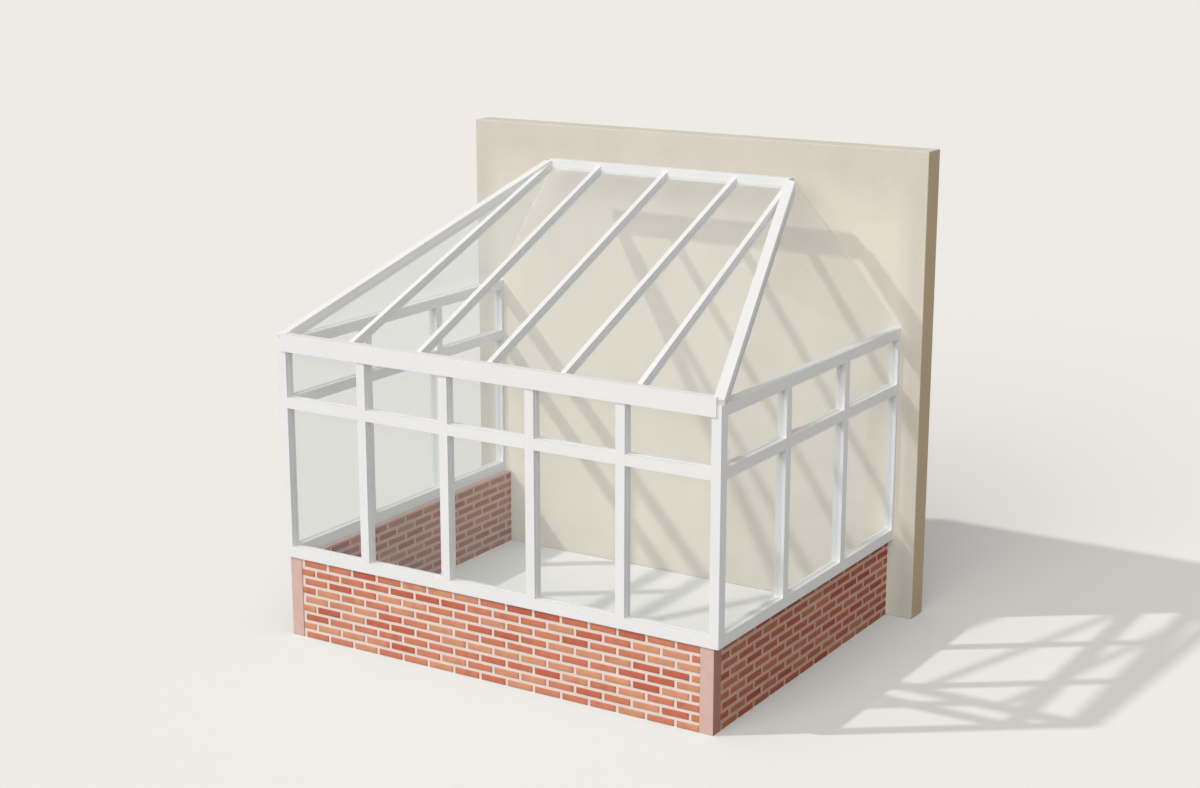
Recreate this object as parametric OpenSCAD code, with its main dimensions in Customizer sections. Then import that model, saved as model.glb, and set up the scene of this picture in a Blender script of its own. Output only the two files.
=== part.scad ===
// A conservatory with a hipped glass roof, standing against a house wall.
// X runs along the front, +Y towards the house, +Z up. The origin is on the ground,
// under the middle of the whole object. Plan places below are counted from the front
// face of the glazed frames, and placed() moves each finished piece to the origin.

/* [Glazed frames] */
// Width over the outer faces of the glazed frames
frame_w = 4035; // [3200:5:5600]
// Depth from the front of the frames to the face of the house wall
frame_d = 3035; // [2400:5:4200]
// Width of the face of a corner post, post or mullion
post_w = 80; // [60:1:110]
// Depth of every frame member, from its outer face to its inner face
bar_d = 92; // [70:1:110]
// Height of the cill on top of the brickwork
cill_h = 90; // [60:1:120]
// Height of the transom and of the head beam
rail_h = 88; // [60:1:110]
// Height of the transom's underside above the ground
transom_z = 1931; // [1500:1:2150]
// Height of the head beam's underside above the ground
head_z = 2396; // [2250:1:2480]
// Width of the slim post where a side frame meets the house wall
wall_post_w = 30; // [20:1:60]

/* [Brickwork] */
// Height of the dwarf walls
plinth_h = 675; // [450:5:900]
// Thickness of the dwarf walls
brick_t = 115; // [90:1:200]
// How far the frames stand out over the brickwork at the sides
over_side = 43; // [0:1:60]
// How far the frames stand out over the brickwork at the front
over_front = 15; // [0:1:60]

/* [Glass] */
// Thickness of a sealed glass unit in the frames
glass_t = 24; // [16:1:32]
// Thickness of the glass in the roof
roof_glass_t = 16; // [10:1:20]

/* [Roof] */
// Height of the top of the ridge beam above the ground
ridge_top = 3694; // [3400:1:3900]
// Height of the ridge beam
ridge_h = 94; // [86:1:140]
// Thickness of the ridge beam, front to back
ridge_d = 80; // [60:1:110]
// Length of the ridge beam
ridge_len = 2320; // [1800:5:2600]
// Clear space between the ridge beam and the house wall
ridge_gap = 300; // [200:5:600]
// How far the tops of the rafters lie below the top of the ridge beam
rafter_drop = 28; // [15:1:40]
// Width of a rafter
rafter_w = 44; // [38:1:64]
// Depth of a rafter, square to the glass
rafter_d = 80; // [64:1:88]
// Height of the rafter tops above the head beam, at the front of the frames
rafter_rise = 29; // [22:1:50]
// Spacing of the rafters at the eaves
rafter_gap = 658.5; // [500:0.5:720]
// Width of a hip bar
hip_w = 80; // [60:1:100]
// Depth of a hip bar, square to its top
hip_d = 94; // [84:1:110]
// Height of the hip tops above the head beam, over the front corners
hip_rise = 42; // [32:1:60]
// How far the hip tops lie below the top of the ridge beam
hip_drop = 12; // [0:1:24]
// How far out the hip bars lie beyond the middle of the corner posts and the ends of the ridge beam
hip_out = 15; // [0:1:24]
// How far the middle of the side glass lies below the top of a hip bar, square to the bar
hip_glass = 24; // [20:1:32]
// How far the foot of a hip bar stays behind the face of the eaves beam
hip_back = 3; // [2:1:20]

/* [Eaves beam] */
// How far the eaves beam stands out in front of the frames
eaves_proud = 12; // [5:1:30]
// Depth of the eaves beam, front to back
eaves_d = 80; // [60:1:90]
// Height of the eaves beam above the head beam
eaves_rise = 54; // [40:1:70]
// How far the eaves beam stops short of the outer faces of the side frames
eaves_inset = 38; // [20:1:60]

/* [House wall] */
// How far the piece of house wall reaches past the frames on each side
house_side = 192.5; // [0:2.5:1500]
// How far it reaches above the ridge beam
house_above = 246; // [0:1:1500]
// Thickness of the piece of house wall
house_t = 220; // [150:5:400]

/* [Hidden] */
front_bays = 5;
side_bays = 3;

// Heights
cill_top = plinth_h + cill_h;
transom_top = transom_z + rail_h;
head_top = head_z + rail_h;

// Plan of the frames and of the brickwork
half_w = frame_w / 2;
brick_half = half_w - over_side;
front_clear = (frame_w - (front_bays + 1) * post_w) / front_bays;
side_clear = (frame_d - bar_d - (side_bays - 1) * post_w - wall_post_w) / side_bays;
glass_in = (bar_d - glass_t) / 2;

// Size of the piece of house wall
house_w = frame_w + 2 * house_side;
house_h = ridge_top + house_above;

// Plan of the roof
eaves_back = eaves_d - eaves_proud;
ridge_front = frame_d - ridge_gap - ridge_d;
ridge_back = ridge_front + ridge_d;
ridge_half = ridge_len / 2;

// The rafter tops lie in one plane, from over the front of the frames to the ridge
rafter_z0 = head_top + rafter_rise;
rafter_z1 = ridge_top - rafter_drop;
roof_pitch = atan2(rafter_z1 - rafter_z0, ridge_front);
slope_len = norm([ridge_front, rafter_z1 - rafter_z0]);

// A hip runs from over a corner post to an end of the ridge beam
hip_x0 = half_w - post_w / 2 + hip_out;
hip_x1 = ridge_half + hip_out;
hip_z0 = head_top + hip_rise;
hip_z1 = ridge_top - hip_drop;
hip_plan = norm([hip_x0 - hip_x1, ridge_front]);
hip_turn = atan2(hip_x0 - hip_x1, ridge_front);
hip_pitch = atan2(hip_z1 - hip_z0, hip_plan);
hip_len = norm([hip_plan, hip_z1 - hip_z0]);
// How far a hip runs on forward from over the front of the frames to its foot
hip_foot = (eaves_proud - hip_back - hip_w / 2 * sin(hip_turn)) / (cos(hip_turn) * cos(hip_pitch));

// The middle of the glass in a side slope, under the foot and under the head of the hip
slope_foot_z = hip_z0 - hip_glass / cos(hip_pitch);
slope_head_z = hip_z1 - hip_glass / cos(hip_pitch);
side_pitch = atan2(slope_head_z - slope_foot_z, hip_x0 - hip_x1);
side_len = norm([slope_head_z - slope_foot_z, hip_x0 - hip_x1]);
// Direction in plan of the back edge of a side slope, from the ridge beam to the house wall
back_turn = atan2(ridge_gap, hip_x0 - ridge_half);

// Larger than the whole object, for solids that only cut
reach = 2 * (frame_w + frame_d + house_h);

depth_front = eaves_proud;
depth_back = frame_d + house_t;

frame_white = [0.93, 0.93, 0.92];
brick_red = [0.78, 0.42, 0.32];
wall_beige = [0.86, 0.82, 0.76];
glass_tint = [0.80, 0.84, 0.82, 0.45];

// Moves a piece from the plan of the frames to the origin
module placed() {
    translate([0, (depth_front - depth_back) / 2, 0])
        children();
}

// A box between two opposite corners
module block(low, high) {
    translate(low)
        cube(high - low);
}

// Turns a piece that is drawn on the right into its twin: side is 1 right, -1 left
module on_side(side) {
    if (side > 0)
        children();
    else
        mirror([1, 0, 0])
            children();
}

// ---- House wall and brickwork ----

module house_wall() {
    color(wall_beige)
        placed()
            block([-house_w / 2, frame_d, 0], [house_w / 2, frame_d + house_t, house_h]);
}

// The front dwarf wall stands between the ends of the side walls
module front_wall() {
    inner = brick_half - brick_t;
    color(brick_red)
        placed()
            block([-inner, over_front, 0], [inner, over_front + brick_t, plinth_h]);
}

module side_wall(side) {
    color(brick_red)
        placed()
            on_side(side)
                block([brick_half - brick_t, over_front, 0], [brick_half, frame_d, plinth_h]);
}

// ---- Cills, posts, transoms and head beams ----

module front_cill() {
    color(frame_white)
        placed()
            block([-half_w, 0, plinth_h], [half_w, bar_d, cill_top]);
}

// A member of a side frame, from one place in depth to another
module side_member(side, y0, y1, z0, z1) {
    color(frame_white)
        placed()
            on_side(side)
                block([half_w - bar_d, y0, z0], [half_w, y1, z1]);
}

// Left edge of front post i, where 0 is the left corner post
function front_post_x(i) = -half_w + i * (post_w + front_clear);

module front_post(i) {
    color(frame_white)
        placed()
            translate([front_post_x(i), 0, cill_top])
                cube([post_w, bar_d, head_z - cill_top]);
}

module corner_post(side) {
    color(frame_white)
        placed()
            on_side(side)
                block([half_w - post_w, 0, cill_top], [half_w, bar_d, head_top]);
}

// Front edge of side mullion i, where 0 would be the corner post
function mullion_y(i) = bar_d + i * side_clear + (i - 1) * post_w;

module side_mullion(side, i) {
    side_member(side, mullion_y(i), mullion_y(i) + post_w, cill_top, head_z);
}

module wall_post(side) {
    side_member(side, frame_d - wall_post_w, frame_d, cill_top, head_z);
}

module front_transoms() {
    color(frame_white)
        placed()
            for (i = [0 : front_bays - 1])
                translate([front_post_x(i) + post_w, 0, transom_z])
                    cube([front_clear, bar_d, rail_h]);
}

// Front edge of side bay i, where 0 is the bay next to the corner post
function side_bay_y(i) = bar_d + i * (side_clear + post_w);

module side_transoms(side) {
    for (i = [0 : side_bays - 1])
        side_member(side, side_bay_y(i), side_bay_y(i) + side_clear, transom_z, transom_top);
}

module front_head() {
    inner = half_w - post_w;
    color(frame_white)
        placed()
            block([-inner, 0, head_z], [inner, bar_d, head_top]);
}

// ---- Vertical glass ----

module front_glass(z0, z1) {
    color(glass_tint)
        placed()
            for (i = [0 : front_bays - 1])
                translate([front_post_x(i) + post_w, glass_in, z0])
                    cube([front_clear, glass_t, z1 - z0]);
}

module side_glass(side, z0, z1) {
    outer = half_w - glass_in;
    color(glass_tint)
        placed()
            on_side(side)
                for (i = [0 : side_bays - 1])
                    block([outer - glass_t, side_bay_y(i), z0], [outer, side_bay_y(i) + side_clear, z1]);
}

// ---- Roof bars ----

// The ridge beam stands clear of the house wall
module ridge_solid() {
    block([-ridge_half, ridge_front, ridge_top - ridge_h], [ridge_half, ridge_back, ridge_top]);
}

module ridge_beam() {
    color(frame_white)
        placed()
            ridge_solid();
}

// The stretch of a hip bar, running on past the ridge beam
module hip_stretch() {
    translate([hip_x0, 0, hip_z0])
        rotate([0, 0, hip_turn])
            rotate([hip_pitch, 0, 0])
                translate([-hip_w / 2, -hip_foot, -hip_d])
                    cube([hip_w, hip_foot + hip_len + hip_w, hip_d]);
}

// The eaves beam sits on the head beam and hangs down over the whole of its face
module eaves_solid() {
    eaves_half = half_w - eaves_inset;
    block([-eaves_half, -eaves_proud, head_top], [eaves_half, eaves_back, head_top + eaves_rise]);
    block([-eaves_half, -eaves_proud, head_z], [eaves_half, 0, head_top]);
}

module eaves_beam() {
    color(frame_white)
        placed()
            union()
                eaves_solid();
}

// A hip bar is seated on the corner post and the side head beam, is notched over the
// end of the eaves beam, and ends at the face of the ridge beam
module hip_solid() {
    difference() {
        hip_stretch();
        translate([-reach / 2, ridge_front, 0])
            cube(reach);
        translate([-reach / 2, -reach / 2, head_top - reach])
            cube(reach);
        eaves_solid();
    }
}

module hip(side) {
    color(frame_white)
        placed()
            on_side(side)
                hip_solid();
}

// A rafter in the slope of the roof: place counts from the middle one, which is 0.
// The outermost ones lean in to the ends of the ridge beam.
module rafter_stretch(place, above = 0, below = 0) {
    foot_x = place * rafter_gap;
    head_x = abs(place) == 2 ? sign(place) * ridge_half : foot_x;
    lean = atan2(foot_x - head_x, slope_len);
    translate([0, 0, rafter_z0])
        rotate([roof_pitch, 0, 0])
            translate([foot_x, 0, 0])
                rotate([0, 0, lean])
                    translate([-rafter_w / 2, -slope_len / 2, -rafter_d - below])
                        cube([rafter_w, 2 * slope_len, rafter_d + below + above]);
}

// The space between the back of the eaves beam and the face of the ridge beam
module slope_space() {
    translate([-reach / 2, eaves_back, head_top])
        cube([reach, ridge_front - eaves_back, reach]);
}

module rafter(place) {
    color(frame_white)
        placed()
            difference() {
                intersection() {
                    rafter_stretch(place);
                    slope_space();
                }
                hip_solid();
                on_side(-1)
                    hip_solid();
            }
}

// ---- Roof glass ----

// Everything on the outer side of the inner face of the right hip
module beyond_hip() {
    translate([hip_x0, 0, 0])
        rotate([0, 0, hip_turn])
            translate([-hip_w / 2, -reach / 2, 0])
                cube(reach);
}

// Six panes halfway down the depth of the rafters
module front_slope_glass() {
    color(glass_tint)
        placed()
            difference() {
                intersection() {
                    translate([-half_w, 0, rafter_z0])
                        rotate([roof_pitch, 0, 0])
                            translate([0, 0, -(rafter_d + roof_glass_t) / 2])
                                cube([frame_w, slope_len, roof_glass_t]);
                    slope_space();
                }
                for (place = [-2 : 2])
                    rafter_stretch(place, rafter_d, rafter_d);
                beyond_hip();
                on_side(-1)
                    beyond_hip();
            }
}

// Everything behind the free back edge of the right slope
module behind_slope() {
    translate([ridge_half, ridge_back, 0])
        rotate([0, 0, back_turn])
            translate([-reach / 2, 0, 0])
                cube(reach);
}

// One pane from the head beam of a side frame up to the end of the ridge beam
module side_slope_glass(side) {
    color(glass_tint)
        placed()
            on_side(side)
                difference() {
                    translate([hip_x0, 0, slope_foot_z])
                        rotate([0, side_pitch, 0])
                            translate([-side_len - 2 * roof_glass_t, 0, -roof_glass_t / 2])
                                cube([side_len + 4 * roof_glass_t, frame_d, roof_glass_t]);
                    // the hip bar, and the front slope behind it
                    intersection() {
                        translate([hip_x0, 0, 0])
                            rotate([0, 0, hip_turn])
                                translate([hip_w / 2 - reach, -reach / 2, 0])
                                    cube(reach);
                        translate([-reach / 2, ridge_front - reach, 0])
                            cube(reach);
                    }
                    // the ridge beam
                    translate([ridge_half - reach, 0, 0])
                        cube(reach);
                    behind_slope();
                    // the head beam
                    translate([-reach / 2, -reach / 2, head_top - reach])
                        cube(reach);
                }
}

house_wall();
front_wall();
side_wall(-1);  // left_wall
side_wall(1);  // right_wall
front_cill();
side_member(-1, bar_d, frame_d, plinth_h, cill_top);  // left_cill
side_member(1, bar_d, frame_d, plinth_h, cill_top);  // right_cill
corner_post(-1);  // left_corner_post
corner_post(1);  // right_corner_post
front_post(1);  // front_post_1
front_post(2);  // front_post_2
front_post(3);  // front_post_3
front_post(4);  // front_post_4
side_mullion(-1, 1);  // left_mullion_1
side_mullion(-1, 2);  // left_mullion_2
wall_post(-1);  // left_wall_post
side_mullion(1, 1);  // right_mullion_1
side_mullion(1, 2);  // right_mullion_2
wall_post(1);  // right_wall_post
front_transoms();
side_transoms(-1);  // left_transoms
side_transoms(1);  // right_transoms
front_head();
side_member(-1, bar_d, frame_d, head_z, head_top);  // left_head
side_member(1, bar_d, frame_d, head_z, head_top);  // right_head
eaves_beam();
ridge_beam();
hip(-1);  // left_hip
hip(1);  // right_hip
rafter(-2);  // rafter_1
rafter(-1);  // rafter_2
rafter(0);  // rafter_3
rafter(1);  // rafter_4
rafter(2);  // rafter_5
front_glass(cill_top, transom_z);  // front_lower_glass
front_glass(transom_top, head_z);  // front_upper_glass
side_glass(-1, cill_top, transom_z);  // left_lower_glass
side_glass(-1, transom_top, head_z);  // left_upper_glass
side_glass(1, cill_top, transom_z);  // right_lower_glass
side_glass(1, transom_top, head_z);  // right_upper_glass
front_slope_glass();
side_slope_glass(-1);  // left_slope_glass
side_slope_glass(1);  // right_slope_glass
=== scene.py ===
"""The looks of a lean-to conservatory: white bars, clear glass, dwarf walls of brick, rendered house wall.

The sections follow the order in which it is put together.
"""

import math

import bmesh
import bpy
from mathutils import Euler, Matrix, Vector


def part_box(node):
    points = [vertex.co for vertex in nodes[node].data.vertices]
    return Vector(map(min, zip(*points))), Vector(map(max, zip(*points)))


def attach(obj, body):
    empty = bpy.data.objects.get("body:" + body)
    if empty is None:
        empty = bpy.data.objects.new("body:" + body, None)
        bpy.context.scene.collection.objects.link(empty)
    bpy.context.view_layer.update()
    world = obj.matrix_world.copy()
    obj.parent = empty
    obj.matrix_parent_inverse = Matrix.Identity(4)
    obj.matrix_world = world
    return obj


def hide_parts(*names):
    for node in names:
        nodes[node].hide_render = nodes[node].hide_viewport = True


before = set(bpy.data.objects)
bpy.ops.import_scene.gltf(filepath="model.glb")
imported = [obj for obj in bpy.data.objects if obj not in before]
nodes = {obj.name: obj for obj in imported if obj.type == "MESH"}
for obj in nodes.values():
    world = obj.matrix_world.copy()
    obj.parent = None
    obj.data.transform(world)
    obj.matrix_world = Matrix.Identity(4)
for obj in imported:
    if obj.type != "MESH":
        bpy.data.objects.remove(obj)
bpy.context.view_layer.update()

# ---------------------------------------------------------------------------
# House wall
# A plain slab of masonry under a coat of smooth sand and cement render, painted beige. The render is
# floated flat, so only its grain, faint float marks and slightly rubbed arrises show. On the front, under the
# glass, the render is given a lighter colour, as painted light on the shaded wall inside the room.

RENDER_COLOUR = (0.668, 0.610, 0.515, 1)
PAINTED_LIGHT_COLOUR = (0.932, 0.850, 0.722, 1)
SHADED_RENDER_TINT = (0.83, 0.71, 0.54, 1)
HOUSE_ARRIS = 0.006
# the painted light fades out round the side frames and round the underside of the ridge, and grows towards
# the foot of the wall
FADE_OUTSIDE = 0.10
FADE_INSIDE = 0.07
FADE_ABOVE = 0.15
FADE_BELOW = 0.30
PAINTED_LIGHT_UNDER_RIDGE = 0.4
# corners this close are one corner
SAME_POINT = 1e-5


def new_material(name, **settings):
    """A material with its Principled shader, whose named sockets are set to plain values."""
    material = bpy.data.materials.new(name)
    material.use_nodes = True
    shader = material.node_tree.nodes["Principled BSDF"]
    for socket, value in settings.items():
        shader.inputs[socket.replace("_", " ")].default_value = value
    return material, material.node_tree, shader


def add_node(tree, kind, settings=(), **inputs):
    """Adds a node, sets its settings, and fills its inputs with plain values or links.

    An input goes by its name, or by i and its number where a name wouldn't be enough.
    """
    node = tree.nodes.new(kind)
    for name, value in dict(settings).items():
        setattr(node, name, value)
    for name, value in inputs.items():
        key = int(name[1:]) if name[0] == "i" and name[1:].isdigit() else name.replace("_", " ")
        if isinstance(value, bpy.types.NodeSocket):
            tree.links.new(value, node.inputs[key])
        else:
            node.inputs[key].default_value = value
    return node


def add_sockets(group, taken, given):
    """Names what a node group takes in and what it gives out."""
    for sockets, direction in ((taken, "INPUT"), (given, "OUTPUT")):
        for name, kind in sockets.items():
            group.interface.new_socket(name, in_out=direction, socket_type="NodeSocket" + kind)


def maths(tree, operation, a, b=0.0, c=0.0):
    """One sum with up to three numbers."""
    return add_node(tree, "ShaderNodeMath", {"operation": operation}, i0=a, i1=b, i2=c).outputs[0]


def vector_maths(tree, operation, a, b):
    """One sum with two vectors."""
    return add_node(tree, "ShaderNodeVectorMath", {"operation": operation}, i0=a, i1=b).outputs[0]


def scaled(tree, vector, size):
    """A vector made longer or shorter."""
    return add_node(tree, "ShaderNodeVectorMath", {"operation": "SCALE"}, i0=vector, Scale=size).outputs[0]


def ramp(tree, value, start, end, low=0.0, high=1.0):
    """A number that goes from low to high while the value goes from start to end."""
    return add_node(tree, "ShaderNodeMapRange", i0=value, i1=start, i2=end, i3=low, i4=high).outputs[0]


def blend(tree, share, first, second):
    """A colour that goes from the first to the second with the share."""
    return add_node(tree, "ShaderNodeMix", {"data_type": "RGBA"}, i0=share, i6=first, i7=second).outputs[2]


def noise(tree, place, **values):
    """Cloudy noise round a half."""
    return add_node(tree, "ShaderNodeTexNoise", Vector=place, **values).outputs["Fac"]


def object_place(tree):
    """The place of a point on its piece."""
    return add_node(tree, "ShaderNodeTexCoord").outputs["Object"]


def facing(tree, axis):
    """How far a face looks along an axis: 1 along it, 0 across it, -1 against it."""
    normal = add_node(tree, "ShaderNodeNewGeometry").outputs["Normal"]
    return add_node(tree, "ShaderNodeSeparateXYZ", Vector=normal).outputs[axis]


def mineral_group():
    """The look that render, mortar and brick share: patches of tone, grains, and a grainy height.

    Faces that look left or right take a darker tint, as painted shade.
    """
    group = bpy.data.node_groups.new("Mineral surface", "ShaderNodeTree")
    add_sockets(
        group,
        {
            "Vector": "Vector", "Colour": "Color", "Patch size": "Float", "Patch strength": "Float",
            "Grain size": "Float", "Grain strength": "Float", "Side tint": "Color",
        },
        {"Colour": "Color", "Height": "Float"},
    )
    given = group.nodes.new("NodeGroupInput").outputs
    patch_scale = maths(group, "DIVIDE", 1.0, given["Patch size"])
    grain_scale = maths(group, "DIVIDE", 1.0, given["Grain size"])
    patches = noise(group, given["Vector"], Scale=patch_scale, Detail=4.0, Roughness=0.6)
    grains = noise(group, given["Vector"], Scale=grain_scale, Detail=2.0, Roughness=0.7)
    # noise lies mostly between 0.3 and 0.7, and each tone goes from 1 - strength to 1 + strength
    tones = []
    for clouds, strength in ((patches, given["Patch strength"]), (grains, given["Grain strength"])):
        low = maths(group, "SUBTRACT", 1.0, strength)
        high = maths(group, "ADD", 1.0, strength)
        tones.append(ramp(group, clouds, 0.3, 0.7, low, high))
    tone = maths(group, "MULTIPLY", *tones)
    # painted shade: faces that look left or right are darkened by the side colour
    sideways = maths(group, "ABSOLUTE", facing(group, "X"))
    tint = blend(group, sideways, (1, 1, 1, 1), given["Side tint"])
    side_shaded = vector_maths(group, "MULTIPLY", given["Colour"], tint)
    leaving = group.nodes.new("NodeGroupOutput").inputs
    group.links.new(scaled(group, side_shaded, tone), leaving["Colour"])
    group.links.new(maths(group, "MULTIPLY_ADD", patches, 0.6, grains), leaving["Height"])
    return group


mineral = mineral_group()


def mineral_look(tree, **values):
    """Places the mineral group in a material with its own values: its colour and its height."""
    return add_node(
        tree, "ShaderNodeGroup", {"node_tree": mineral}, Vector=object_place(tree), **values
    ).outputs


def paint_over(tree, shader, colour):
    """Gives the shader a colour, and its own grey where the surface only throws light on other things."""
    path = add_node(tree, "ShaderNodeLightPath").outputs
    grey = add_node(tree, "ShaderNodeRGBToBW", Color=colour).outputs[0]
    tree.links.new(blend(tree, path["Is Diffuse Ray"], colour, grey), shader.inputs["Base Color"])


def add_relief(tree, shader, height, strength, depth):
    """Lets a height roughen the surface."""
    bump = add_node(tree, "ShaderNodeBump", Strength=strength, Distance=depth, Height=height)
    tree.links.new(bump.outputs["Normal"], shader.inputs["Normal"])


def join_faces(piece):
    """Joins the loose triangles of a CAD node at their corners."""
    piece.modifiers.new("Join faces", "WELD").merge_threshold = SAME_POINT


def soften_edges(node_name, width, segments=2):
    """Rounds the sharp arrises of a CAD node."""
    piece = nodes[node_name]
    join_faces(piece)
    bevel = piece.modifiers.new("Rounded arris", "BEVEL")
    bevel.width = width
    bevel.segments = segments
    bevel.limit_method = "ANGLE"
    bevel.angle_limit = math.radians(30)
    return piece


def dress(piece, material):
    """Gives a piece one material all over."""
    piece.data.materials.clear()
    piece.data.materials.append(material)


render_coat, tree, shader = new_material("painted_render", Roughness=0.85)
frame_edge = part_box("right_head")[1].x
ridge_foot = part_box("ridge_beam")[0].z
spot = add_node(tree, "ShaderNodeSeparateXYZ", Vector=object_place(tree)).outputs
aside = maths(tree, "ABSOLUTE", spot["X"])
between_frames = ramp(tree, aside, frame_edge + FADE_OUTSIDE, frame_edge - FADE_INSIDE)
at_ridge = ramp(tree, spot["Z"], ridge_foot + FADE_ABOVE, ridge_foot - FADE_BELOW, high=PAINTED_LIGHT_UNDER_RIDGE)
below_ridge = ramp(tree, spot["Z"], ridge_foot - FADE_BELOW, 0.0, high=1.0 - PAINTED_LIGHT_UNDER_RIDGE)
# painted light: the front of the wall under the glass gets a lighter colour, most towards its foot
under_glass = maths(tree, "MULTIPLY", maths(tree, "ADD", at_ridge, below_ridge), between_frames)
on_front = ramp(tree, facing(tree, "Y"), 0.0, -1.0)
painted_light = maths(tree, "MULTIPLY", under_glass, on_front)
coat = mineral_look(
    tree, Colour=blend(tree, painted_light, RENDER_COLOUR, PAINTED_LIGHT_COLOUR), Patch_size=0.55, Patch_strength=0.035,
    Grain_size=0.004, Grain_strength=0.05, Side_tint=SHADED_RENDER_TINT,
)
paint_over(tree, shader, coat["Colour"])
float_marks = noise(tree, object_place(tree), Scale=3.0, Detail=3.0, Roughness=0.5, Distortion=1.2)
floated = maths(tree, "MULTIPLY_ADD", float_marks, 2.0, coat["Height"])
add_relief(tree, shader, floated, strength=0.35, depth=0.0012)
dress(soften_edges("house_wall", HOUSE_ARRIS, segments=3), render_coat)

# ---------------------------------------------------------------------------
# Bricks and mortar
# Stretcher bond, one brick thick, in nine courses. Every brick is a fired clay brick with arrises rounded
# in handling, laid in thick joints of pale mortar that are raked back a little on both faces of the wall.

WALLS = ("front_wall", "left_wall", "right_wall")
COURSES = 9
COURSE_HEIGHT = 0.0765
BRICK_LENGTH = 0.226
BRICK_ARRIS = 0.0035
# cuts across its length, thickness and height, so that its faces can be worn
BRICK_CUTS = (8, 2, 2)
FRONT_JOINT = 0.024
SIDE_JOINT = 0.029
FIRST_JOINT = 0.028
RAKE = 0.006
FACE_INSET = 0.0015
SKIM = 0.004
# a piece of brick smaller than this share of a whole one is left out
SMALLEST_SHARE = 0.05
# how far one brick may be from the next: its place across the wall, its turns, and its size as shares
OUT_OF_LINE = 0.0007
TURNED = (0.006, 0.006, 0.004)
LENGTHS = (0.988, 1.004)
THICKNESSES = (0.992, 1.0)
HEIGHTS = (0.960, 1.01)
# dents in the faces, each as how fine they are and how deep
BRICK_DENTS = ((14.0, 0.0022), (70.0, 0.0012))
TROWEL_MARKS = (25.0, 0.003)
MORTAR_CELL = 0.03
# each wall starts its random draws at a seed of its own
FIRST_SEED = 11
SEED_STEP = 20

CLAY_TONES = (
    (0.00, (0.675, 0.306, 0.168, 1)),
    (0.30, (0.650, 0.276, 0.153, 1)),
    (0.36, (0.615, 0.212, 0.117, 1)),
    (0.76, (0.595, 0.183, 0.098, 1)),
    (0.82, (0.540, 0.132, 0.070, 1)),
    (1.00, (0.505, 0.113, 0.060, 1)),
)
FIRE_MARK_COLOUR = (0.30, 0.075, 0.045, 1)
SHADED_CLAY_TINT = (0.62, 0.49, 0.46, 1)
MORTAR_COLOUR = (0.815, 0.680, 0.600, 1)
SHADED_MORTAR_TINT = (0.80, 0.60, 0.52, 1)


def mesh_from(name, shape):
    """Turns a shape into a mesh, with its faces outwards."""
    bmesh.ops.recalc_face_normals(shape, faces=shape.faces)
    mesh = bpy.data.meshes.new(name)
    shape.to_mesh(mesh)
    shape.free()
    return mesh


def add_object(name, data):
    """Puts an object in the scene."""
    thing = bpy.data.objects.new(name, data)
    bpy.context.scene.collection.objects.link(thing)
    return thing


def brick_shape(length, thickness, height):
    """One brick round the origin, with rounded arrises and enough faces to take a worn surface."""
    shape = bmesh.new()
    bmesh.ops.create_cube(shape, size=1.0)
    bmesh.ops.scale(shape, vec=(length, thickness, height), verts=shape.verts)
    bmesh.ops.bevel(
        shape, geom=shape.edges[:], offset=BRICK_ARRIS, segments=2, profile=0.5, affect="EDGES",
        clamp_overlap=True,
    )
    for axis, (size, cuts) in enumerate(zip((length, thickness, height), BRICK_CUTS)):
        for i in range(cuts):
            at = Vector((0, 0, 0))
            at[axis] = size * ((i + 1) / (cuts + 1) - 0.5)
            across = Vector((0, 0, 0))
            across[axis] = 1
            everything = shape.verts[:] + shape.edges[:] + shape.faces[:]
            bmesh.ops.bisect_plane(shape, geom=everything, plane_co=at, plane_no=across)
    for face in shape.faces:
        face.smooth = True
    return bpy.data.objects.new("brick", mesh_from("brick", shape))


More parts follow.
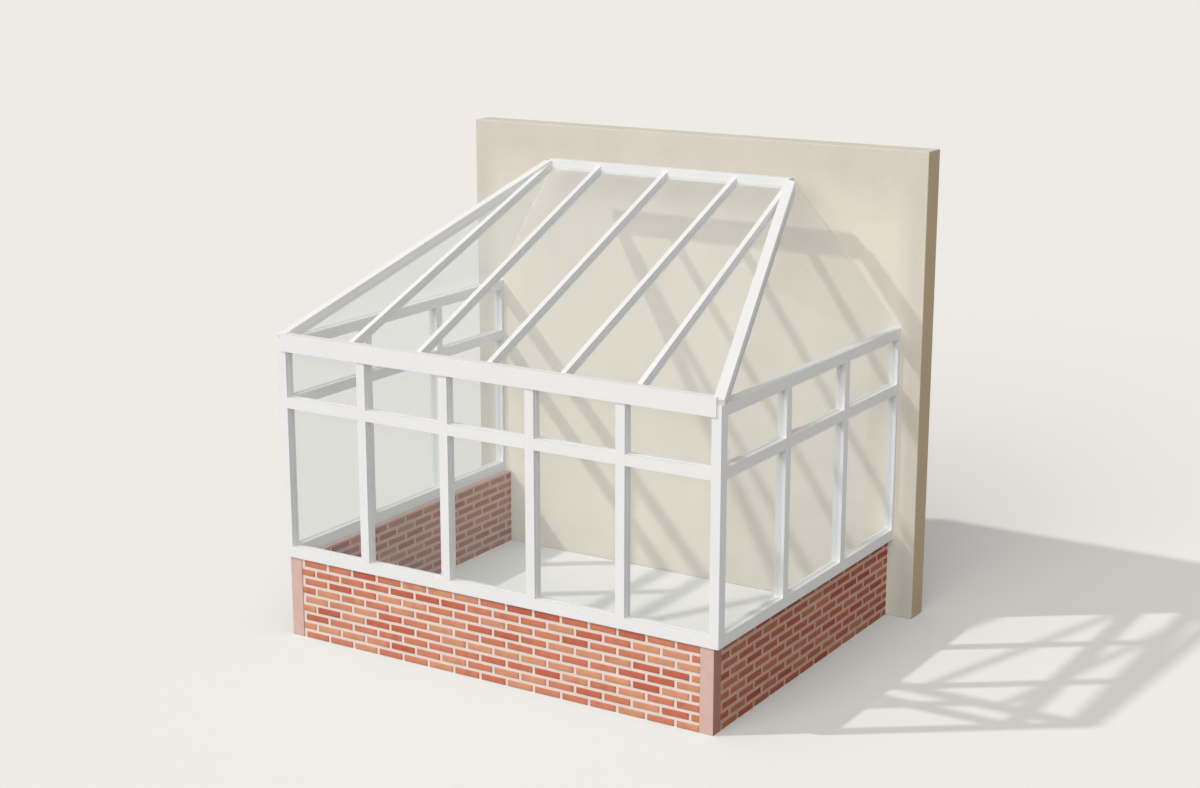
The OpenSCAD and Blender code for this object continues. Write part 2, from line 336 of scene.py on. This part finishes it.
def bond_tree():
    """Geometry nodes that lay a wall: bricks in stretcher bond, and the mortar between them."""
    tree = bpy.data.node_groups.new("Stretcher bond", "GeometryNodeTree")
    add_sockets(
        tree,
        {
            "Brick": "Object", "Wall length": "Float", "Wall thickness": "Float", "Wall height": "Float",
            "Courses": "Int", "Course height": "Float", "Brick length": "Float", "Joint": "Float",
            "First joint": "Float", "Rake": "Float", "Seed": "Int", "Brick material": "Material",
            "Mortar material": "Material",
        },
        {"Geometry": "Geometry"},
    )
    given = tree.nodes.new("NodeGroupInput").outputs

    def vector(x, y, z):
        return add_node(tree, "ShaderNodeCombineXYZ", X=x, Y=y, Z=z).outputs[0]

    def spread(low, high, draw):
        """A random number for each brick. Each draw has a number of its own."""
        seed = maths(tree, "ADD", given["Seed"], float(draw))
        return add_node(
            tree, "FunctionNodeRandomValue", {"data_type": "FLOAT"}, i2=low, i3=high, Seed=seed
        ).outputs[1]

    # the course of each brick, and its place in the course
    step = maths(tree, "ADD", given["Brick length"], given["Joint"])
    whole_steps = maths(tree, "CEIL", maths(tree, "DIVIDE", given["Wall length"], step))
    in_course = maths(tree, "ADD", whole_steps, 1.0)
    index = add_node(tree, "GeometryNodeInputIndex").outputs[0]
    course = maths(tree, "FLOOR", maths(tree, "DIVIDE", maths(tree, "ADD", index, 0.5), in_course))
    place = maths(tree, "SUBTRACT", index, maths(tree, "MULTIPLY", course, in_course))

    # every other course is moved back by half a step, and the bricks at both ends are cut to fit
    back = maths(tree, "MULTIPLY", maths(tree, "MODULO", course, 2.0), 0.5)
    start = maths(tree, "MULTIPLY_ADD", maths(tree, "SUBTRACT", place, back), step, given["First joint"])
    left = maths(tree, "MAXIMUM", start, 0.0)
    right = maths(tree, "MINIMUM", maths(tree, "ADD", start, given["Brick length"]), given["Wall length"])
    share = maths(tree, "DIVIDE", maths(tree, "SUBTRACT", right, left), given["Brick length"])
    tall = maths(tree, "SUBTRACT", given["Course height"], given["Joint"])
    x = maths(tree, "MULTIPLY", maths(tree, "ADD", left, right), 0.5)
    y = maths(tree, "MULTIPLY_ADD", given["Wall thickness"], 0.5, spread(-OUT_OF_LINE, OUT_OF_LINE, 1))
    z = maths(tree, "MULTIPLY_ADD", course, given["Course height"], maths(tree, "MULTIPLY", tall, 0.5))
    spots = add_node(
        tree, "GeometryNodePoints", Count=maths(tree, "MULTIPLY", given["Courses"], in_course),
        Position=vector(x, y, z),
    ).outputs[0]

    source = add_node(tree, "GeometryNodeObjectInfo", Object=given["Brick"]).outputs["Geometry"]
    turn = vector(*[spread(-most, most, draw) for draw, most in enumerate(TURNED, 2)])
    long = maths(tree, "MULTIPLY", share, spread(*LENGTHS, 5))
    laid = add_node(
        tree, "GeometryNodeInstanceOnPoints", Points=spots,
        Selection=maths(tree, "GREATER_THAN", share, SMALLEST_SHARE), Instance=source, Rotation=turn,
        Scale=vector(long, spread(*THICKNESSES, 6), spread(*HEIGHTS, 7)),
    ).outputs[0]
    for name, draw in (("tone", 8), ("shade", 9)):
        laid = add_node(
            tree, "GeometryNodeStoreNamedAttribute", {"data_type": "FLOAT", "domain": "INSTANCE"},
            Geometry=laid, Name=name, Value=spread(0.0, 1.0, draw),
        ).outputs[0]
    bricks = add_node(tree, "GeometryNodeRealizeInstances", Geometry=laid).outputs[0]

    # pitted and slightly warped faces, which stay within the wall
    position = add_node(tree, "GeometryNodeInputPosition").outputs[0]
    for fineness, depth in BRICK_DENTS:
        wobble = add_node(
            tree, "ShaderNodeTexNoise", Vector=position, Scale=fineness, Detail=2.0
        ).outputs["Color"]
        offset = scaled(tree, vector_maths(tree, "SUBTRACT", wobble, (0.5, 0.5, 0.5)), depth)
        bricks = add_node(tree, "GeometryNodeSetPosition", Geometry=bricks, Offset=offset).outputs[0]
    far_corner = vector(given["Wall length"], given["Wall thickness"], given["Wall height"])
    kept = vector_maths(tree, "MAXIMUM", position, (0.0, 0.0, 0.0))
    kept = vector_maths(tree, "MINIMUM", kept, far_corner)
    bricks = add_node(tree, "GeometryNodeSetPosition", Geometry=bricks, Position=kept).outputs[0]
    bricks = add_node(
        tree, "GeometryNodeSetMaterial", Geometry=bricks, Material=given["Brick material"]
    ).outputs[0]

    # the mortar is one body that the bricks stand out of
    raked = maths(tree, "SUBTRACT", given["Wall thickness"], maths(tree, "MULTIPLY", given["Rake"], 2.0))
    body = add_node(
        tree, "GeometryNodeMeshCube", Size=vector(given["Wall length"], raked, given["Wall height"]),
        Vertices_X=maths(tree, "DIVIDE", given["Wall length"], MORTAR_CELL), Vertices_Y=4,
        Vertices_Z=maths(tree, "DIVIDE", given["Wall height"], MORTAR_CELL),
    ).outputs[0]
    body = add_node(
        tree, "GeometryNodeTransform", Geometry=body, Translation=scaled(tree, far_corner, 0.5)
    ).outputs[0]
    fineness, depth = TROWEL_MARKS
    trowel = noise(tree, position, Scale=fineness, Detail=3.0)
    push = maths(tree, "MULTIPLY", maths(tree, "SUBTRACT", trowel, 0.5), depth)
    body = add_node(
        tree, "GeometryNodeSetPosition", Geometry=body, Offset=vector(0.0, push, 0.0)
    ).outputs[0]
    body = add_node(
        tree, "GeometryNodeSetMaterial", Geometry=body, Material=given["Mortar material"]
    ).outputs[0]

    joined = tree.nodes.new("GeometryNodeJoinGeometry")
    tree.links.new(bricks, joined.inputs[0])
    tree.links.new(body, joined.inputs[0])
    leaving = tree.nodes.new("NodeGroupOutput")
    tree.links.new(joined.outputs[0], leaving.inputs[0])
    return tree


def made_by_nodes(name, tree, values):
    """Runs a geometry node tree on an empty mesh, and returns the result as a plain mesh object."""
    host = add_object(name + "_host", bpy.data.meshes.new(name + "_host"))
    modifier = host.modifiers.new("Making", "NODES")
    modifier.node_group = tree
    for item in tree.interface.items_tree:
        if item.in_out == "INPUT":
            modifier[item.identifier] = values[item.name]
    bpy.context.view_layer.update()
    evaluated = host.evaluated_get(bpy.context.evaluated_depsgraph_get())
    mesh = bpy.data.meshes.new_from_object(evaluated)
    bpy.data.objects.remove(host)
    mesh.name = name
    return add_object(name, mesh)


def stored(tree, name):
    """The number that a mesh stores under a name."""
    return add_node(tree, "ShaderNodeAttribute", {"attribute_name": name}).outputs["Fac"]


# Fired clay: each brick has a tone of its own between orange and red, with darker fire marks and sand grains.
fired_clay, tree, shader = new_material("fired_clay", Roughness=0.85)
brick_tone = add_node(tree, "ShaderNodeValToRGB", i0=stored(tree, "tone"))
stops = brick_tone.color_ramp.elements
for number, (at, colour) in enumerate(CLAY_TONES):
    stop = stops[number] if number < 2 else stops.new(at)
    stop.position = at
    stop.color = colour
clay = mineral_look(
    tree, Colour=brick_tone.outputs["Color"], Patch_size=0.06, Patch_strength=0.09, Grain_size=0.0016,
    Grain_strength=0.10, Side_tint=SHADED_CLAY_TINT,
)
fire = add_node(
    tree, "ShaderNodeTexNoise", {"noise_dimensions": "4D"}, Vector=object_place(tree),
    W=stored(tree, "shade"), Scale=6.0, Detail=3.0,
).outputs["Fac"]
fire_mark = ramp(tree, fire, 0.56, 0.72, high=0.35)
paint_over(tree, shader, blend(tree, fire_mark, clay["Colour"], FIRE_MARK_COLOUR))
add_relief(tree, shader, clay["Height"], strength=0.5, depth=0.0012)


def mineral_material(name, roughness, strength, depth, **values):
    """A plain mineral surface, with a relief of that strength and depth."""
    material, tree, shader = new_material(name, Roughness=roughness)
    look = mineral_look(tree, **values)
    paint_over(tree, shader, look["Colour"])
    add_relief(tree, shader, look["Height"], strength, depth)
    return material


# Mortar: pale lime and sand, rough and a little patchy.
mortar = mineral_material(
    "lime_mortar", roughness=0.95, strength=0.6, depth=0.0015, Colour=MORTAR_COLOUR, Patch_size=0.12,
    Patch_strength=0.05, Grain_size=0.0022, Grain_strength=0.10, Side_tint=SHADED_MORTAR_TINT,
)

bond = bond_tree()
front_low, front_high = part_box("front_wall")
pier_width = front_high.y - front_low.y
laid_height = front_high.z - SKIM


def wall_frame(node_name):
    """Where the brickwork of a wall starts and which way it runs, its length and its thickness."""
    low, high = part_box(node_name)
    if node_name == "front_wall":
        return Matrix.Translation(low), high.x - low.x, high.y - low.y
    start = Vector((high.x, low.y + pier_width, 0))
    put = Matrix.Translation(start) @ Matrix.Rotation(math.pi / 2, 4, "Z")
    return put, high.y - start.y, high.x - low.x


for number, wall in enumerate(WALLS):
    put, length, thickness = wall_frame(wall)
    joint = FRONT_JOINT if wall == "front_wall" else SIDE_JOINT
    brick = brick_shape(BRICK_LENGTH, thickness - 2 * FACE_INSET, COURSE_HEIGHT - joint)
    piece = made_by_nodes(
        wall + "_bricks", bond,
        {
            "Brick": brick, "Wall length": length, "Wall thickness": thickness, "Wall height": laid_height,
            "Courses": COURSES, "Course height": COURSE_HEIGHT, "Brick length": BRICK_LENGTH, "Joint": joint,
            "First joint": FIRST_JOINT, "Rake": RAKE, "Seed": FIRST_SEED + SEED_STEP * number,
            "Brick material": fired_clay, "Mortar material": mortar,
        },
    )
    bpy.data.objects.remove(brick)
    piece.data.transform(put)
    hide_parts(wall)
    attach(piece, "root")

# ---------------------------------------------------------------------------
# Corner piers and skim coats
# A plain square pier under smooth pink mortar stands at each front corner, where the walls meet. A thin coat
# of the same mortar evens the tops of the three walls.

SKIM_COLOUR = (0.680, 0.455, 0.382, 1)
SHADED_SKIM_TINT = (0.64, 0.44, 0.38, 1)
SKIM_ARRIS = 0.0015


def slab(name, low, high):
    """A flat plate between two corners, with rounded edges."""
    shape = bmesh.new()
    bmesh.ops.create_cube(shape, size=1.0)
    bmesh.ops.scale(shape, vec=high - low, verts=shape.verts)
    bmesh.ops.translate(shape, vec=(low + high) / 2, verts=shape.verts)
    bmesh.ops.bevel(shape, geom=shape.edges[:], offset=SKIM_ARRIS, segments=2, profile=0.5, affect="EDGES")
    return add_object(name, mesh_from(name, shape))


skim = mineral_material(
    "pink_skim", roughness=0.9, strength=0.4, depth=0.001, Colour=SKIM_COLOUR, Patch_size=0.09,
    Patch_strength=0.04, Grain_size=0.002, Grain_strength=0.07, Side_tint=SHADED_SKIM_TINT,
)

for wall in WALLS:
    low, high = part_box(wall)
    coats = {"_skim": (Vector((low.x, low.y, laid_height)), high)}
    if wall != "front_wall":
        coats["_pier"] = (low, Vector((high.x, low.y + pier_width, laid_height)))
    for ending, corners in coats.items():
        piece = slab(wall + ending, *corners)
        dress(piece, skim)
        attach(piece, "root")

# ---------------------------------------------------------------------------
# White bars
# Cills, posts, mullions, transoms, head, eaves and ridge beams, hips and rafters: square-edged bars, cut to
# length and butted together, with a white powder coat baked on and the thinnest radius on each edge. A
# little dust lies on the faces that look up.

DULLER_WHITE = (0.826, 0.814, 0.804, 1)
BRIGHTER_WHITE = (0.850, 0.838, 0.826, 1)
DUST_COLOUR = (0.640, 0.620, 0.580, 1)
BAR_ARRIS = 0.0015

powder_coat, tree, shader = new_material("white_powder_coat")
place = object_place(tree)
film = ramp(tree, noise(tree, place, Scale=2.5, Detail=4.0), 0.35, 0.65)
white = blend(tree, film, DULLER_WHITE, BRIGHTER_WHITE)
level = ramp(tree, facing(tree, "Z"), 0.6, 1.0, high=0.16)
dust = maths(tree, "MULTIPLY", level, noise(tree, place, Scale=9.0, Detail=5.0, Roughness=0.65))
tree.links.new(blend(tree, dust, white, DUST_COLOUR), shader.inputs["Base Color"])
tree.links.new(ramp(tree, dust, 0.0, 0.3, low=0.36, high=0.6), shader.inputs["Roughness"])
add_relief(tree, shader, noise(tree, place, Scale=420.0, Detail=1.0), strength=0.12, depth=0.0004)

for name in nodes:
    if name not in WALLS and name != "house_wall" and not name.endswith("_glass"):
        dress(soften_edges(name, BAR_ARRIS), powder_coat)

# ---------------------------------------------------------------------------
# Glass
# Sealed units of clear, faintly green float glass; the panes on the two sides are a darker colour, as
# painted shade. Each unit's edge runs a little way into the rebate of the bars round it.

CLEAR_COLOUR = (0.946, 0.963, 0.957, 1)
SHADED_SIDE_GLASS_COLOUR = (0.920, 0.938, 0.934, 1)
LAMP_COLOUR = (0.984, 0.990, 0.987, 1)
REBATE = 0.0012


def float_glass(name, colour):
    """Glass of a colour, which lets lamplight and soft light through nearly whole."""
    glass, tree, shader = new_material(
        name, Base_Color=colour, Roughness=0.0, IOR=1.2, Transmission_Weight=0.96,
    )
    path = add_node(tree, "ShaderNodeLightPath").outputs
    lit_through = maths(tree, "MAXIMUM", path["Is Shadow Ray"], path["Is Diffuse Ray"])
    let_through = add_node(tree, "ShaderNodeBsdfTransparent", Color=LAMP_COLOUR)
    either = add_node(
        tree, "ShaderNodeMixShader", i0=lit_through, i1=shader.outputs[0], i2=let_through.outputs[0]
    )
    tree.links.new(either.outputs[0], tree.nodes["Material Output"].inputs["Surface"])
    return glass


clear_glass = float_glass("clear_glass", CLEAR_COLOUR)
side_glass = float_glass("side_glass", SHADED_SIDE_GLASS_COLOUR)

glass_nodes = [name for name in nodes if name.endswith("_glass")]
for name in glass_nodes:
    piece = nodes[name]
    join_faces(piece)
    grow = piece.modifiers.new("Into the rebate", "DISPLACE")
    grow.direction = "NORMAL"
    grow.mid_level = 0.0
    grow.strength = REBATE
    # painted shade: the panes on the two sides get the darker glass
    dress(piece, side_glass if name.startswith(("left_", "right_")) else clear_glass)

# ---------------------------------------------------------------------------
# Gaskets
# A slim soft gasket, nearly white, seals every unit against the bars on both of its faces. The free back
# edge of each side slope has none.

# the corners of its section, as the distance from the bar and the height off the glass
GASKET = ((-0.001, 0.0), (0.0028, 0.0), (0.0023, 0.0021), (-0.001, 0.0030))
GASKET_COLOURS = ((0.70, 0.70, 0.69, 1), (0.76, 0.76, 0.75, 1))
# a face of the glass that is smaller than this, in square metres, is an edge
SMALLEST_PANE = 0.1
# the middle of a free edge is farther than this from the house wall, and higher than this over the head beam
CLEAR_OF_WALL = 0.02
CLEAR_OF_HEAD = 0.1

house_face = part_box("house_wall")[0].y
ridge_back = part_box("ridge_beam")[1].y
head_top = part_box("left_head")[1].z


def pane_outlines(node_name):
    """The outline of each pane of a glass node, on its outer and on its inner face: (points, normal)."""
    shape = bmesh.new()
    shape.from_mesh(nodes[node_name].data)
    bmesh.ops.remove_doubles(shape, verts=shape.verts, dist=SAME_POINT)
    bmesh.ops.dissolve_limit(shape, angle_limit=math.radians(1), verts=shape.verts, edges=shape.edges)
    outlines = []
    for face in shape.faces:
        if face.calc_area() > SMALLEST_PANE:
            outlines.append(([corner.vert.co.copy() for corner in face.loops], face.normal.copy()))
    shape.free()
    return outlines


def drawn_in(points, normal, distance):
    """A flat outline with each side moved inwards by a distance."""
    moved = []
    for i, corner in enumerate(points):
        before = (corner - points[i - 1]).normalized()
        after = (points[(i + 1) % len(points)] - corner).normalized()
        inward = normal.cross(before), normal.cross(after)
        lean = inward[0] + inward[1]
        moved.append(corner + lean * (distance / (1 + inward[0].dot(inward[1]))))
    return moved


def is_free(start, end):
    """Whether a side of a pane is the open back edge of a side slope, which no bar holds."""
    middle = (start + end) / 2
    return ridge_back < middle.y < house_face - CLEAR_OF_WALL and middle.z > head_top + CLEAR_OF_HEAD


def edging(name, outlines, profile):
    """A strip with a given section along every held side of the outlines."""
    shape = bmesh.new()
    for points, normal in outlines:
        rings = []
        for across, off in profile:
            ring = drawn_in(points, normal, across)
            rings.append([shape.verts.new(corner + normal * off) for corner in ring])
        count = len(points)
        held = [not is_free(points[i], points[(i + 1) % count]) for i in range(count)]
        for i in range(count):
            j = (i + 1) % count
            if held[i]:
                for ring, next_ring in zip(rings, rings[1:] + rings[:1]):
                    shape.faces.new((ring[i], ring[j], next_ring[j], next_ring[i]))
            if held[i] != held[i - 1]:
                shape.faces.new([ring[i] for ring in rings])
    for corner in [corner for corner in shape.verts if not corner.link_faces]:
        shape.verts.remove(corner)
    return add_object(name, mesh_from(name, shape))


soft_gasket, tree, shader = new_material("soft_gasket", Roughness=0.6)
bloom = noise(tree, object_place(tree), Scale=30.0, Detail=3.0)
tree.links.new(blend(tree, bloom, *GASKET_COLOURS), shader.inputs["Base Color"])

sides = {"front": [], "left": [], "right": [], "roof": []}
for name in glass_nodes:
    side = "roof" if name.endswith("_slope_glass") else name.split("_")[0]
    sides[side] += pane_outlines(name)
for side, outlines in sides.items():
    piece = edging(side + "_gaskets", outlines, GASKET)
    dress(piece, soft_gasket)
    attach(piece, "root")

# ---------------------------------------------------------------------------
# Floor, lamps and camera
# A pale floor that runs on past the view, a key lamp from the front left, and two wide soft lamps, from the
# front and from the front right. A pale sky is seen behind, and a cooler, weaker one lights the object.

FLOOR_REACH = 300.0
FLOOR_COLOUR = (0.925, 0.886, 0.836, 1)
FLOOR_GREY = (0.38, 0.38, 0.38, 1)
SEEN_SKY = (0.88, 0.847, 0.80, 1)
LIGHTING_SKY = (0.97, 0.985, 1.0, 1)
LENS = 61.36
CAMERA_PLACE = (8.609, -13.755, 6.001)
CAMERA_TILT = 13.976
CAMERA_TURN = 32.033

ends = (-FLOOR_REACH, FLOOR_REACH)
floor_mesh = bpy.data.meshes.new("floor")
floor_mesh.from_pydata([(x, y, 0) for x in ends for y in ends], [], [(0, 2, 3, 1)])
floor = add_object("floor", floor_mesh)
floor_paint, tree, shader = new_material(
    "floor_paint", Base_Color=FLOOR_COLOUR, Roughness=1.0, Specular_IOR_Level=0.0
)
# where the floor only throws light back at the object it is a mid grey, so that shaded faces stay shaded
path = add_node(tree, "ShaderNodeLightPath").outputs
dull = add_node(tree, "ShaderNodeBsdfDiffuse", Color=FLOOR_GREY)
seen_or_not = add_node(
    tree, "ShaderNodeMixShader", i0=path["Is Diffuse Ray"], i1=shader.outputs[0], i2=dull.outputs[0]
)
tree.links.new(seen_or_not.outputs[0], tree.nodes["Material Output"].inputs["Surface"])
dress(floor, floor_paint)


def sun(name, travel, strength, width):
    """A far lamp whose light travels in one direction, and which looks that many degrees wide."""
    lamp = bpy.data.lights.new(name, "SUN")
    lamp.energy = strength
    lamp.angle = math.radians(width)
    add_object(name, lamp).rotation_euler = Vector(travel).to_track_quat("-Z", "Y").to_euler()


sun("key_lamp", travel=(1.38, 1.0, -1.54), strength=1.25, width=1.5)
sun("front_lamp", travel=(0.0, 1.0, -0.6), strength=1.16, width=50.0)
sun("right_lamp", travel=(-0.55, 1.0, -0.5), strength=0.50, width=60.0)

world = bpy.data.worlds.new("studio")
bpy.context.scene.world = world
world.use_nodes = True
tree = world.node_tree
lighting = tree.nodes["Background"]
lighting.inputs["Color"].default_value = LIGHTING_SKY
lighting.inputs["Strength"].default_value = 0.42
pale = add_node(tree, "ShaderNodeBackground", Color=SEEN_SKY, Strength=1.0)
path = add_node(tree, "ShaderNodeLightPath").outputs
seen = maths(tree, "MAXIMUM", path["Is Camera Ray"], path["Is Transmission Ray"])
seen = maths(tree, "MAXIMUM", seen, path["Is Glossy Ray"])
both = add_node(tree, "ShaderNodeMixShader", i0=seen, i1=lighting.outputs[0], i2=pale.outputs[0])
tree.links.new(both.outputs[0], tree.nodes["World Output"].inputs["Surface"])

bpy.context.scene.view_settings.view_transform = "Standard"

lens = bpy.data.cameras.new("camera")
lens.lens = LENS
lens.sensor_width = 36.0
lens.clip_end = 1000.0
camera = add_object("camera", lens)
camera.location = CAMERA_PLACE
camera.rotation_euler = Euler((math.radians(90 - CAMERA_TILT), 0, math.radians(CAMERA_TURN)))
bpy.context.scene.camera = camera
